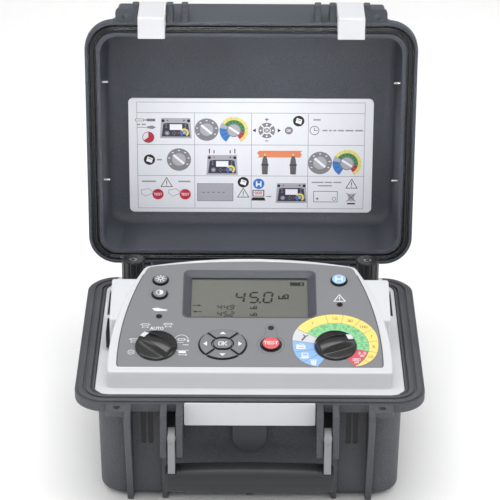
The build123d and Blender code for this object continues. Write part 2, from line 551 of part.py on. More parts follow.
for name, at, points in (("mode", MODE_AT, MODE_POINTS), ("range", RANGE_AT, RANGE_POINTS)):
    save(f"{name}_switch_body", make_switch_body(at))
    save(f"{name}_switch_shaft", make_shaft(at, points))
    save(f"{name}_knob", make_knob(at, points))
    save(f"{name}_knob_pointer", make_pointer(at, points))
for name, (x, s, radius) in BUTTONS.items():
    save(name, make_button(x, s, radius))
for name, turn in (("up_button", 0), ("left_button", 90), ("down_button", 180), ("right_button", 270)):
    save(name, make_pad_key(turn))
save("ok_button", make_ok_key())
pad_x, pad_s, arm, rise = *PAD_AT, 15.5, 15.5 * PAD_SQUASH
switch_places = [(x, s) for x, s, _ in BUTTONS.values()] + [
    (pad_x, pad_s), (pad_x + arm, pad_s), (pad_x - arm, pad_s), (pad_x, pad_s + rise), (pad_x, pad_s - rise)]
save("tact_switches", *[make_tact_switch(x, s) for x, s in switch_places])
save("indicator_leds", *[deck_post(LED_R, at, -6, 0.4) for at in LEDS])

save("current_terminal_studs", *side_pair(make_stud, TERMINAL_X))
save("current_terminal_bases", *side_pair(
    lambda x: post(12, x, TERMINAL_Y, SHELF_Z, 126) - post(STUD_R, x, TERMINAL_Y, SHELF_Z - 1, 127), TERMINAL_X))
for name, x in (("left", -TERMINAL_X), ("right", TERMINAL_X)):
    washer = post(8, x, TERMINAL_Y, 126.2, 127.7) - post(STUD_R + 0.2, x, TERMINAL_Y, 126, 128)
    save(f"cap_washer_{name}", washer)
    save(f"current_cap_{name}", make_cap(x))
save("potential_sockets", *side_pair(make_socket, POTENTIAL_X))
save("guard_socket", make_socket(0))
save("terminal_busbars", *both_sides(
    block(60, 120, TERMINAL_Y - 5.5, TERMINAL_Y + 5.5, 98, 101) - post(STUD_R, TERMINAL_X, TERMINAL_Y, 97, 102)))
save("mains_inlet", make_inlet())
save("usb_socket", make_usb())
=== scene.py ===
import json
from math import atan2, ceil, cos, degrees, hypot, pi, radians, sin, sqrt

import bpy
from mathutils import Matrix, Vector


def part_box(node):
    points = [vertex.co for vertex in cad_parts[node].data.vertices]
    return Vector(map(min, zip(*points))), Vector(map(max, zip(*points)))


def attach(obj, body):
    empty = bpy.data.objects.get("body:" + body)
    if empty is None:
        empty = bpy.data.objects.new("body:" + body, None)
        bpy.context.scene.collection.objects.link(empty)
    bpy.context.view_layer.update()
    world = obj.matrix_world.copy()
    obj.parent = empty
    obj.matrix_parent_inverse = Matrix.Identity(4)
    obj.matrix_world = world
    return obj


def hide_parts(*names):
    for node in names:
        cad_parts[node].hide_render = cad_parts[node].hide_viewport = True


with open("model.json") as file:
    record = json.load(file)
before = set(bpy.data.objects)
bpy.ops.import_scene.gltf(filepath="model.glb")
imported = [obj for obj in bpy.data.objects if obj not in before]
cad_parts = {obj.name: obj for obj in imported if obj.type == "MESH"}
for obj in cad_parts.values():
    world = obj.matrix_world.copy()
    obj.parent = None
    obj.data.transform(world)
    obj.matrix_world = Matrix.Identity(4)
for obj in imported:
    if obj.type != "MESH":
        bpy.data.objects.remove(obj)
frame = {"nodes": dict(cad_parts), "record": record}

MM = 0.001
DECK_TILT = radians(15.0)
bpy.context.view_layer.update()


# ---------------------------------------------------------------- camera
def make_camera():
    data = bpy.data.cameras.new("camera")
    data.lens, data.sensor_width = 172.73, 36.0
    data.shift_x = -0.0008
    data.clip_end = 50
    camera = bpy.data.objects.new("camera", data)
    bpy.context.scene.collection.objects.link(camera)
    tilt = Matrix.Rotation(radians(63.77), 4, "X") @ Matrix.Rotation(radians(0.25), 4, "Z")
    camera.matrix_world = Matrix.Translation((0, -1.9771, 1.1762)) @ tilt
    bpy.context.scene.camera = camera


make_camera()


# ---------------------------------------------------------------- materials
def linear(r, g, b):
    """Linear colour of an 8-bit sRGB one."""

    def one(value):
        value /= 255
        return value / 12.92 if value < 0.04045 else ((value + 0.055) / 1.055) ** 2.4

    return (one(r), one(g), one(b), 1.0)


def shade(colour, factor):
    return tuple(min(1.0, c * factor) for c in colour[:3]) + (1.0,)


GLOSS_SPREAD = 0.07                     # how far roughness strays either side of its value
BROAD_SCALE = 14.0                      # mottling, in patches a metre


class Surface:
    """A procedural material: mottled colour, moulded grain, worn edges and uneven gloss."""

    def __init__(self, name, rgb, rough=0.5, grain=0.2, size=0.8, spread=0.07, edge=0.0, bevel=0.0,
                 metallic=0.0, coat=0.0, stretch=(1, 1, 1), alpha=1.0, side=None):
        self.material = bpy.data.materials.new(name)
        self.material.use_nodes = True
        self.tree = self.material.node_tree
        self.shader = self.tree.nodes["Principled BSDF"]
        colour = linear(*rgb)
        self.shader.inputs["Metallic"].default_value = metallic
        self.shader.inputs["Coat Weight"].default_value = coat
        self.shader.inputs["Coat Roughness"].default_value = 0.08
        self.shader.inputs["Alpha"].default_value = alpha
        place = self.node("ShaderNodeMapping", Scale=stretch)
        self.link(self.node("ShaderNodeTexCoord").outputs["Object"], place.inputs["Vector"])
        fine = self.noise(place, 1 / (size * MM), 4.0)
        broad = self.noise(place, BROAD_SCALE, 3.0)
        base = self.mix(broad.outputs["Fac"], shade(colour, 1 - spread), shade(colour, 1 + spread))
        speck = self.span(fine.outputs["Fac"], 0.3, 0.7, 1 - spread, 1 + spread)
        tint = self.node("ShaderNodeVectorMath", operation="SCALE")
        self.link(base, tint.inputs[0])
        self.link(speck, tint.inputs["Scale"])
        out = tint.outputs[0]
        bump = self.node("ShaderNodeBump")
        bump.inputs["Strength"].default_value = grain
        bump.inputs["Distance"].default_value = 0.3 * size * MM
        self.link(fine.outputs["Fac"], bump.inputs["Height"])
        if bevel:
            soft = self.node("ShaderNodeBevel", samples=4)
            soft.inputs["Radius"].default_value = bevel * MM
            self.link(soft.outputs["Normal"], bump.inputs["Normal"])
            if edge:
                out = self.worn(out, soft, shade(colour, 1.9), edge)
        if side:
            out = self.sides(out, linear(*side))
        self.link(out, self.shader.inputs["Base Color"])
        self.link(bump.outputs["Normal"], self.shader.inputs["Normal"])
        low, high = max(0.02, rough - GLOSS_SPREAD), min(1.0, rough + GLOSS_SPREAD)
        self.link(self.span(fine.outputs["Fac"], 0.25, 0.75, low, high), self.shader.inputs["Roughness"])

    def node(self, kind, **settings):
        made = self.tree.nodes.new(kind)
        for key, value in settings.items():
            if key in made.inputs:
                made.inputs[key].default_value = value
            else:
                setattr(made, key, value)
        return made

    def link(self, source, target):
        self.tree.links.new(source, target)

    def noise(self, place, scale, detail):
        made = self.node("ShaderNodeTexNoise", Scale=scale, Detail=detail)
        self.link(place.outputs["Vector"], made.inputs["Vector"])
        return made

    def mix(self, factor, first, second):
        made = self.node("ShaderNodeMix", data_type="RGBA")
        self.link(factor, made.inputs[0])
        made.inputs[6].default_value = first
        made.inputs[7].default_value = second
        return made.outputs[2]

    def span(self, value, low, high, to_low, to_high):
        made = self.node("ShaderNodeMapRange")
        for index, number in enumerate((low, high, to_low, to_high), 1):
            made.inputs[index].default_value = number
        self.link(value, made.inputs[0])
        return made.outputs[0]

    def sides(self, colour, dark):
        """Keep the colour on the faces that lie along the deck and show the dark body on the others."""
        flat = self.node("ShaderNodeNewGeometry")
        dot = self.node("ShaderNodeVectorMath", operation="DOT_PRODUCT")
        self.link(flat.outputs["True Normal"], dot.inputs[0])
        dot.inputs[1].default_value = (0, -sin(DECK_TILT), cos(DECK_TILT))
        made = self.node("ShaderNodeMix", data_type="RGBA")
        self.link(self.span(dot.outputs["Value"], 0.80, 0.90, 0.0, 1.0), made.inputs[0])
        made.inputs[6].default_value = dark
        self.link(colour, made.inputs[7])
        return made.outputs[2]

    def worn(self, colour, soft, light, amount):
        """Lighten what the rounded normal says is an edge."""
        flat = self.node("ShaderNodeNewGeometry")
        dot = self.node("ShaderNodeVectorMath", operation="DOT_PRODUCT")
        self.link(soft.outputs["Normal"], dot.inputs[0])
        self.link(flat.outputs["Normal"], dot.inputs[1])
        factor = self.span(dot.outputs["Value"], 0.72, 0.99, amount, 0.0)
        made = self.node("ShaderNodeMix", data_type="RGBA")
        self.link(factor, made.inputs[0])
        self.link(colour, made.inputs[6])
        made.inputs[7].default_value = light
        return made.outputs[2]


SURFACES = {
    "case_plastic": dict(rgb=(74, 75, 80), rough=0.55, grain=1.0, size=1.2, spread=0.3, edge=0.25, bevel=1.0),
    "lid_plastic": dict(rgb=(62, 66, 74), rough=0.55, grain=1.0, size=1.2, spread=0.3, edge=0.25, bevel=1.0),
    "seal_rubber": dict(rgb=(12, 12, 14), rough=0.3, grain=0.12, size=2.0, spread=0.2),
    "latch_plastic": dict(rgb=(202, 203, 206), rough=0.42, grain=0.15, size=0.6, spread=0.02, bevel=0.8),
    "arm_plastic": dict(rgb=(138, 140, 142), rough=0.5, grain=0.3, size=0.6, spread=0.05, bevel=0.6),
    "grip_rubber": dict(rgb=(34, 35, 38), rough=0.5, grain=0.6, size=0.8, spread=0.15),
    "panel_plastic": dict(rgb=(206, 207, 210), rough=0.45, grain=0.25, size=0.5, spread=0.02, bevel=0.5),
    "plate_plastic": dict(rgb=(208, 209, 213), rough=0.4, grain=0.12, size=0.5, spread=0.02, bevel=0.6),
    "overlay_film": dict(rgb=(122, 123, 126), rough=0.5, grain=0.2, size=0.35, spread=0.03),
    "frame_plastic": dict(rgb=(76, 77, 84), rough=0.4, grain=0.15, size=0.5, spread=0.05, bevel=0.5),
    "lcd_glass": dict(rgb=(116, 117, 110), rough=0.3, grain=0.05, size=0.3, spread=0.03),
    "board_laminate": dict(rgb=(24, 84, 52), rough=0.4, grain=0.3, size=1.5, spread=0.15),
    "battery_case": dict(rgb=(70, 74, 80), rough=0.5, grain=0.3, size=0.9, spread=0.08, bevel=0.6),
    "plain_steel": dict(rgb=(190, 190, 192), rough=0.3, grain=0.15, size=0.5, spread=0.05, metallic=1.0,
                        stretch=(1, 1, 8)),
    "copper": dict(rgb=(200, 120, 80), rough=0.3, grain=0.15, size=0.6, spread=0.1, metallic=1.0,
                   stretch=(1, 8, 1)),
    "sink_metal": dict(rgb=(150, 152, 156), rough=0.4, grain=0.2, size=0.6, spread=0.05, metallic=1.0,
                       stretch=(8, 1, 1)),
    "iron_core": dict(rgb=(72, 70, 68), rough=0.5, grain=0.3, size=0.5, spread=0.12, metallic=0.8,
                      stretch=(1, 1, 12)),
    "card_film": dict(rgb=(228, 230, 236), rough=0.35, grain=0.06, size=0.8, spread=0.015),
    "knob_plastic": dict(rgb=(20, 20, 22), rough=0.24, grain=0.12, size=0.5, spread=0.12, coat=0.25),
    "pointer_paint": dict(rgb=(214, 216, 222), rough=0.4, grain=0.1, size=0.4, spread=0.03, bevel=0.4),
    "key_grey": dict(rgb=(116, 117, 121), rough=0.5, grain=0.25, size=0.4, spread=0.04, side=(22, 22, 24)),
    "key_red": dict(rgb=(215, 88, 92), rough=0.45, grain=0.2, size=0.4, spread=0.05, side=(22, 22, 24)),
    "key_blue": dict(rgb=(150, 186, 232), rough=0.45, grain=0.2, size=0.4, spread=0.04, side=(22, 22, 24)),
    "switch_plastic": dict(rgb=(40, 40, 44), rough=0.5, grain=0.2, size=0.6, spread=0.1),
    "cap_plastic": dict(rgb=(18, 18, 20), rough=0.26, grain=0.12, size=0.5, spread=0.12, coat=0.2),
    "contact_metal": dict(rgb=(205, 203, 198), rough=0.2, grain=0.08, size=0.4, spread=0.04, metallic=1.0),
    "socket_red": dict(rgb=(160, 20, 24), rough=0.3, grain=0.1, size=0.5, spread=0.06),
    "socket_black": dict(rgb=(20, 20, 22), rough=0.3, grain=0.15, size=0.5, spread=0.12),
    "led_lens": dict(rgb=(34, 24, 24), rough=0.15, grain=0.05, size=0.6, spread=0.1, coat=0.5),
    "cable_grey": dict(rgb=(140, 142, 148), rough=0.5, grain=0.3, size=1.0, spread=0.06, stretch=(6, 1, 1)),
    "clear_window": dict(rgb=(60, 62, 60), rough=0.05, grain=0.01, size=2.0, spread=0.02, alpha=0.06),
}
INKS = {
    # the edge ink is painted shade: it stands for the shadow in the gap along the overlay's sides
    "white": (228, 229, 233), "black": (10, 10, 12), "edge": (62, 63, 70), "yellow": (240, 214, 120),
    "green": (134, 205, 146), "blue": (138, 178, 226), "red": (205, 84, 92), "pale": (205, 205, 210),
    "line": (120, 122, 112), "label": (140, 120, 66), "segment": (24, 25, 24), "web": (122, 123, 126),
    "ink": (58, 60, 70), "rule": (150, 152, 160), "grey": (128, 126, 132), "body": (170, 171, 180),
    "navy": (45, 48, 70), "strong_blue": (45, 120, 200), "strong_red": (190, 40, 60),
    "strong_green": (50, 125, 75), "dark_green": (78, 140, 92), "strong_yellow": (225, 215, 120),
    "orange": (222, 135, 95),
    "light": (236, 237, 242), "mid": (92, 92, 98),
}
MATERIALS = {name: Surface(name, **look).material for name, look in SURFACES.items()}
PRINTS = {name: Surface("ink_" + name, rgb, rough=0.45, grain=0.1, size=0.3, spread=0.03).material
          for name, rgb in INKS.items()}


def paint_nodes():
    """Give every CAD node the material of its slot in the record."""
    slots = {part["node"]: part["material_slot"] for part in frame["record"]["subparts"]}
    for name, piece in frame["nodes"].items():
        piece.data.materials.clear()
        piece.data.materials.append(MATERIALS[slots[name]])


paint_nodes()


# ---------------------------------------------------------------- places
def plane(origin, right, up):
    """Matrix of a drawing plane: x to the right, y up, z out of the surface, all in millimetres."""
    right, up = Vector(right).normalized(), Vector(up).normalized()
    out = right.cross(up)
    axes = Matrix((right, up, out)).transposed().to_4x4()
    return Matrix.Scale(MM, 4) @ Matrix.Translation(origin) @ axes


DECK = plane((0, -94.6, 128.0), (1, 0, 0), (0, cos(DECK_TILT), sin(DECK_TILT)))
HINGE_Y, HINGE_Z, OPEN = 131.4, 117.0, radians(92.4)
LID = (Matrix.Translation((0, HINGE_Y * MM, HINGE_Z * MM)) @ Matrix.Rotation(-OPEN, 4, "X")
       @ Matrix.Translation((0, -HINGE_Y * MM, -HINGE_Z * MM)) @ Matrix.Scale(MM, 4))
CARD_UP = (0, sin(OPEN - pi / 2), cos(OPEN - pi / 2))
CARD = plane((0, 194.85, 209.93), (1, 0, 0), CARD_UP)


def add_mesh(name, points, faces, place, body, material, smooth=False):
    mesh = bpy.data.meshes.new(name)
    mesh.from_pydata([place @ Vector(p) for p in points], [], faces)
    mesh.update()
    mesh.materials.append(material)
    if smooth:
        mesh.shade_smooth()
    piece = bpy.data.objects.new(name, mesh)
    bpy.context.scene.collection.objects.link(piece)
    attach(piece, body)
    return piece


# ---------------------------------------------------------------- printed marks
GLYPHS = {
    "0": "10 30 41 45 36 16 05 01 10", "1": "15 26 20", "2": "05 16 36 45 44 00 40",
    "3": "05 16 36 45 44 33 42 41 30 10 01/33 23", "4": "30 36 02 42", "5": "46 06 03 33 42 41 30 00",
    "6": "46 16 05 01 10 30 41 42 33 03", "7": "06 46 10",
    "8": "13 04 05 16 36 45 44 33 13 02 01 10 30 41 42 33", "9": "43 13 04 05 16 36 45 41 30 00",
    ".": "20 21", "A": "00 26 40/12 32", "U": "06 01 10 30 41 46", "T": "06 46/26 20",
    "O": "10 30 41 45 36 16 05 01 10", "K": "06 00/46 02/13 40", "E": "46 06 00 40/03 33",
    "S": "45 36 16 05 04 13 33 42 41 30 10 01", "m": "00 04/03 14 24 20/23 34 44 40",
    "u": "04 00/01 10 30 41 44/41 40",
    "R": "00 10 11 03 05 16 36 45 43 31 30 40", "+": "03 43/21 25", "-": "03 43",
}


def arc(cx, cy, radius, start, end, steps=16, squash=1.0):
    """Points along an arc; angles run clockwise from straight up."""
    turns = [radians(start + (end - start) * i / steps) for i in range(steps + 1)]
    return [(cx + radius * sin(t), cy + radius * cos(t) * squash) for t in turns]


class Print:
    """Thin solid marks on one plane, gathered by ink."""

    def __init__(self, name, place, body, slot, height):
        self.name, self.place, self.body, self.slot, self.height = name, place, body, slot, height
        self.inks = {}

    def shape(self, ink, outline, level=0, sink=0.03):
        """Closed prism with the given outline; a higher level lies over a lower one."""
        twice = sum(a[0] * b[1] - b[0] * a[1] for a, b in zip(outline, outline[1:] + outline[:1]))
        if twice < 0:
            outline = outline[::-1]
        points, faces = self.inks.setdefault(ink, ([], []))
        first, count = len(points), len(outline)
        top = self.height + 0.06 + 0.03 * level
        points += [(x, y, self.height - sink) for x, y in outline] + [(x, y, top) for x, y in outline]
        faces.append(tuple(first + i for i in reversed(range(count))))
        faces.append(tuple(first + count + i for i in range(count)))
        for i in range(count):
            j = (i + 1) % count
            faces.append((first + i, first + j, first + count + j, first + count + i))

    def box(self, ink, x0, y0, x1, y1, level=0):
        self.shape(ink, [(x0, y0), (x1, y0), (x1, y1), (x0, y1)], level)

    def disc(self, ink, x, y, radius, level=0, squash=1.0, steps=28):
        self.shape(ink, arc(x, y, radius, 0, 360 - 360 / steps, steps - 1, squash), level)

    def sector(self, ink, x, y, inner, outer, start, end, level=0):
        """Part of a ring."""
        steps = max(3, ceil((end - start) / 6))
        outside, inside = (arc(x, y, radius, start, end, steps) for radius in (outer, inner))
        self.shape(ink, outside + inside[::-1], level)

    def circle(self, ink, x, y, radius, width, level=0):
        for start in (0, 180):
            self.sector(ink, x, y, radius - width / 2, radius + width / 2, start, start + 180, level)

    def line(self, ink, points, width, level=0):
        for (x0, y0), (x1, y1) in zip(points, points[1:]):
            length = hypot(x1 - x0, y1 - y0)
            if length < 1e-6:
                continue
            ux, uy = (x1 - x0) / length * width / 2, (y1 - y0) / length * width / 2
            self.shape(ink, [(x0 - ux + uy, y0 - uy - ux), (x1 + ux + uy, y1 + uy - ux),
                             (x1 + ux - uy, y1 + uy + ux), (x0 - ux - uy, y0 - uy + ux)], level)

    def loop(self, ink, points, width, level=0):
        self.line(ink, points + points[:1], width, level)

    def text(self, ink, words, x, y, tall, width, level=0):
        """Stroke lettering centred on (x, y)."""
        unit = tall / 6
        left = x - (len(words) * 5.6 - 1.6) * unit / 2
        for index, letter in enumerate(words):
            start = left + index * 5.6 * unit
            for stroke in GLYPHS[letter].split("/"):
                points = [(start + int(p[0]) * unit, y - tall / 2 + int(p[1]) * unit)
                          for p in stroke.split()]
                self.line(ink, points, width, level)

    def finish(self):
        for ink, (points, faces) in self.inks.items():
            add_mesh(f"{self.name}_{ink}", points, faces, self.place, self.body, PRINTS[ink])


# ---------------------------------------------------------------- deck artwork
OVERLAY_TOP = 0.2
BACKLIGHT_AT, CONTRAST_AT, SAVE_AT, TEST_AT = (-83.8, 120.5), (-84.0, 101.2), (82.9, 120.8), (19.0, 33.8)
LIGHTS_AT = ((-83.7, 71.0), (82.8, 87.8), (19.1, 56.0))
KEY_TOP, PAD_KEY_TOP, OK_KEY_TOP = 2.6, 1.6, 1.9
MODE_AT, RANGE_AT, PAD_AT = (-85.0, 31.2), (77.6, 32.4), (-24.8, 33.4)
PAD_SQUASH = 0.9                        # the pad is a little wider than it is tall
OK_HALF, OK_R = 2.3, 6.3                # the middle key: half its straight part, and its ends' radius
RING_START, RING_STEP = -148.5, 22.85
RING_IN, RING_MID, RING_WIDE, RING_HIGH, RING_LIFT = 19.6, 30.5, 39.1, 35.25, 6.95


def resistor(art, x, y, wide, leads=1.6):
    """A test-piece symbol: a small box with two leads."""
    half, tall = wide / 2, 1.1
    art.loop("white", [(x - half, y - tall), (x + half, y - tall), (x + half, y + tall),
                       (x - half, y + tall)], 0.55)
    for side in (-1, 1):
        art.line("white", [(x + side * half, y), (x + side * (half + leads), y)], 0.45)


def draw_mode_marks(art):
    x, y = -107.6, 23.2
    art.circle("white", x, y, 2.7, 0.5)
    art.disc("white", x - 0.8, y, 0.55)
    art.disc("white", x + 0.8, y, 0.55)
    for rx, ry in ((-105.4, 40.1), (-95.9, 59.9), (-75.0, 60.6)):
        resistor(art, rx, ry, 6.2)
        art.line("white", [(rx - 2.4, ry - 3.6), (rx + 2.4, ry - 3.6)], 0.35)
        for side in (-2.4, 2.4):
            art.disc("white", rx + side, ry - 3.6, 0.7)
    art.text("white", "AUTO", -85.3, 54.8, 3.3, 0.7)
    x, y = -62.3, 40.1
    art.line("white", arc(x, y, 6.0, -70, 100, 14), 0.5)
    resistor(art, x, y, 5.6, 1.2)
    art.shape("white", [(x + 4.6, y - 1.4), (x + 7.4, y - 1.2), (x + 5.9, y - 3.6)])
    art.line("white", [(x - 3.4, y - 3.8), (x + 1.6, y - 3.8)], 0.45)
    art.line("white", [(x + 1.6, y - 7.0), (x + 6.4, y - 7.0)], 0.7)
    x, y = -61.2, 23.2
    art.line("white", [(x - 5.4, y + 2.0), (x + 5.4, y + 2.9)], 0.5)
    art.box("white", x - 3.4, y - 1.0, x + 3.2, y + 1.6)
    art.line("white", [(x - 3.6, y - 3.2), (x + 3.6, y - 3.2)], 0.45)
    art.disc("white", x + 3.4, y - 3.2, 0.8)


def ring_out(turn):
    """Outer radius of the scale towards a turn in degrees: an oval set above the dial, squarer below."""
    low, high = RING_IN, 60.0
    for _ in range(30):
        middle = (low + high) / 2
        x, y = middle * sin(radians(turn)) / RING_WIDE, (middle * cos(radians(turn)) - RING_LIFT) / RING_HIGH
        power = 2.0 if y > 0 else 2.8
        if abs(x) ** power + abs(y) ** power < 1:
            low = middle
        else:
            high = middle
    return low


def ring_edge(start, end, radius, steps):
    """Points round the dial's centre at a radius that may depend on the turn."""
    cx, cy = RANGE_AT
    turns = [start + (end - start) * i / steps for i in range(steps + 1)]
    return [(cx + radius(t) * sin(radians(t)), cy + radius(t) * cos(radians(t))) for t in turns]


def ring_mid(turn):
    """Radius of the line between the two bands, which runs out to the edge at its lower end."""
    out = ring_out(turn)
    return min(out, RING_MID + max(0.0, turn - 110) * 0.02)


def draw_ring(art):
    """The coloured scale round the right-hand dial."""
    cx, cy = RANGE_AT

    def at(step):
        return RING_START + RING_STEP * step

    def centre(step, radius):
        return cx + radius * sin(radians(at(step))), cy + radius * cos(radians(at(step)))

    def inside(turn):
        return RING_IN

    def band(ink, first, last, low, high, level=0):
        steps = max(4, int(6 * (last - first)))
        art.shape(ink, ring_edge(at(first), at(last), high, steps)
                  + ring_edge(at(first), at(last), low, steps)[::-1], level)

    for k in range(3):
        band("blue", k, k + 1, inside, ring_out)
    band("pale", 3, 4, inside, ring_out)
    band("yellow", 4, 12.9, lambda t: ring_mid(t) - 0.6, ring_out)
    band("green", 4, 11, inside, ring_mid, 1)
    band("red", 11, 13, inside, ring_mid, 1)
    art.line("line", ring_edge(at(0), at(13), ring_out, 72), 0.35, 2)
    art.line("line", ring_edge(at(4), at(13), ring_mid, 48), 0.35, 2)
    for k in range(14):
        turn = at(k)
        inner = ring_mid(turn) if k == 12 else RING_IN
        outer = ring_mid(turn) if k == 5 else ring_out(turn)
        art.line("line", [(cx + r * sin(radians(turn)), cy + r * cos(radians(turn)))
                          for r in (inner, outer)], 0.4, 2)
    outer_words = {5.0: "1", 6.5: "10", 7.5: "30", 8.5: "100", 9.5: "1", 10.5: "5", 11.5: "10"}
    for step, words in outer_words.items():
        turn = at(step)
        radius = (ring_out(turn) + ring_mid(turn)) / 2
        art.text("label", words, *centre(step, radius), 2.8, 0.5, 2)
    for k, words in enumerate(("2.5", "250", "25", "2.5", "250", "25", "2.5")):
        x, y = centre(4.5 + k, 26.0)
        art.text("dark_green", words, x, y + 1.5, 2.5, 0.45, 2)
        art.text("dark_green", "R", x, y - 2.0, 2.3, 0.4, 2)
    for step, radius, words in ((11.5, 26.2, "2.5"), (12.45, 26.6, "250")):
        x, y = centre(step, radius)
        art.text("white", words, x, y + 1.5, 2.6, 0.6, 2)
        art.text("white", "mR", x, y - 1.9, 2.2, 0.5, 2)
    # small pictures on the blue and pale parts
    x, y = centre(0.5, 29.6)
    art.shape("white", [(x - 2.6, y + 2.2), (x + 2.6, y + 2.2), (x + 1.9, y - 3.4), (x - 1.9, y - 3.4)], 2)
    art.line("white", [(x - 3.2, y + 3.2), (x + 3.2, y + 3.2)], 0.7, 2)
    for side in (-0.9, 0.9):
        art.line("blue", [(x + side, y + 1.4), (x + side * 0.8, y - 2.6)], 0.4, 3)
    x, y = centre(1.5, 30.6)
    art.box("white", x - 3.0, y - 1.2, x + 3.0, y + 3.4, 2)
    art.box("blue", x - 2.1, y - 0.2, x + 2.1, y + 2.5, 3)
    art.shape("white", [(x - 4.0, y - 3.8), (x + 4.0, y - 3.8), (x + 3.2, y - 1.7), (x - 3.2, y - 1.7)], 2)
    x, y = centre(2.5, 31.4)
    art.shape("white", [(x - 4.2, y - 3.4), (x + 3.8, y - 3.4), (x + 4.4, y + 1.0), (x - 1.0, y + 1.2),
                        (x - 1.8, y + 2.4), (x - 4.2, y + 2.4)], 2)
    art.line("white", [(x - 1.0, y + 3.4), (x + 2.8, y + 2.4)], 0.8, 2)
    art.box("blue", x - 2.2, y - 1.9, x + 2.6, y - 0.6, 3)
    x, y = centre(3.5, 30.4)
    art.line("mid", [(x - 1.8, y - 3.4), (x + 1.0, y + 1.2)], 1.7, 2)
    art.line("mid", [(x + 1.0, y + 1.2), (x - 0.6, y + 3.4)], 1.1, 2)
    art.line("mid", [(x + 1.0, y + 1.2), (x + 3.4, y + 2.6)], 1.1, 2)


def overlay_side(s):
    """Half width of the overlay at a distance up the slope: an arc, widest near the lower edge."""
    widest, bend, widest_at = 119.9, 350, 12
    return widest - bend + sqrt(bend ** 2 - (s - widest_at) ** 2)


def draw_overlay():
    art = Print("overlay_mark", DECK, "case", "overlay_film", OVERLAY_TOP)
    draw_mode_marks(art)
    draw_ring(art)
    # painted shade: a dark line along each side of the overlay stands for the shadow in the gap at its edge
    for side in (-1, 1):
        edge = [(side * overlay_side(s), s) for s in range(8, 134, 6)]
        art.line("edge", edge, 0.9)
        corner = overlay_side(6)
        art.line("edge", [(side * corner, 8), (side * (corner - 0.8), 5.4)], 0.9)
    # a plug on the left and a warning triangle on the right
    x, y = -84.0, 80.0
    art.shape("white", [(x - 6.6, y + 1.6), (x - 1.6, y + 2.6), (x + 1.0, y + 1.6), (x + 6.6, y + 0.2),
                        (x + 6.6, y - 1.4), (x - 1.0, y - 2.0), (x - 4.0, y - 1.4)])
    for low in (0.9, -0.7):
        art.line("white", [(x + 4.0, y + low - 0.6), (x + 7.6, y + low - 0.8)], 0.5)
    x, y = 82.8, 96.7
    art.loop("white", [(x - 5.2, y - 4.2), (x + 5.2, y - 4.2), (x, y + 5.0)], 0.8)
    art.line("white", [(x, y + 1.6), (x, y - 1.0)], 0.8)
    art.disc("white", x, y - 2.6, 0.5)
    draw_outlines(art)
    art.finish()


def draw_outlines(art):
    """Dark printed rings round the keys, a wider black ring round the test key that stands for its dark side
    wall and painted shade in the gap round it, and the drop-shaped line round the test key and its light.
    """
    for at, radius in ((BACKLIGHT_AT, 6.8), (CONTRAST_AT, 6.8), (SAVE_AT, 7.0)):
        art.circle("black", *at, radius + 0.75, 0.7)
    # painted shade: this wider black ring stands for the test key's dark side wall and the shadow in the gap
    # round it
    art.circle("black", *TEST_AT, 9.35, 1.4)
    for middle in (0, 90, 180, 270):
        ends = (middle - 41, middle + 41)
        outer, inner = (arc(*PAD_AT, radius, *ends, 16, PAD_SQUASH) for radius in (22.4, 21.6))
        art.shape("black", outer + inner[::-1])
    for at in LIGHTS_AT:
        art.circle("black", *at, 2.7, 0.6)
    x, y = TEST_AT
    art.line("mid", arc(x, y, 12.4, 28, 332, 36), 0.35)
    art.line("mid", arc(x, y + 22.2, 4.6, -68, 68, 12), 0.35)
    for side in (-1, 1):
        art.line("mid", [(x + side * 12.4 * sin(radians(28)), y + 12.4 * cos(radians(28))),
                         (x + side * 4.3, y + 23.9)], 0.35)


draw_overlay()


def key_print(key, at, height, slot):
    place = DECK @ Matrix.Translation((at[0], at[1], 0))
    return Print(key + "_mark", place, key, slot, height)


def draw_keys():
    art = key_print("backlight_key", BACKLIGHT_AT, KEY_TOP, "key_grey")
    art.circle("white", 0, 0, 1.9, 0.8)
    for turn in range(0, 360, 45):
        s, c = sin(radians(turn)), cos(radians(turn))
        art.line("white", [(3.1 * s, 3.1 * c), (4.3 * s, 4.3 * c)], 0.75)
    art.finish()
    art = key_print("contrast_key", CONTRAST_AT, KEY_TOP, "key_grey")
    art.circle("white", 0, 0, 3.1, 0.7)
    art.sector("white", 0, 0, 0.02, 3.0, 0, 180)
    art.finish()
    art = key_print("save_key", SAVE_AT, KEY_TOP, "key_blue")
    art.box("white", -3.4, -3.3, 3.4, 3.3)
    art.box("blue", -1.9, 0.6, 1.9, 3.3, 1)
    art.box("blue", -2.3, -3.3, 2.3, -0.9, 1)
    art.finish()
    art = key_print("test_key", TEST_AT, KEY_TOP, "key_red")
    art.text("white", "TEST", 0, 0, 3.5, 0.8)
    art.finish()
    for key, turn in (("up_key", 0), ("left_key", 90), ("down_key", 180), ("right_key", 270)):
        art = key_print(key, PAD_AT, PAD_KEY_TOP, "key_grey")
        s, c = -sin(radians(turn)), cos(radians(turn))
        squash = 1.0 if turn % 180 else PAD_SQUASH
        head = ((-2.9, 14.2 * squash), (2.9, 14.2 * squash), (0, 17.6 * squash))
        art.shape("white", [(x * c + y * s, y * c - x * s) for x, y in head])
        art.finish()
    art = key_print("ok_key", PAD_AT, OK_KEY_TOP, "key_grey")
    art.text("white", "OK", 0, 0, 4.4, 0.95)
    art.finish()


draw_keys()


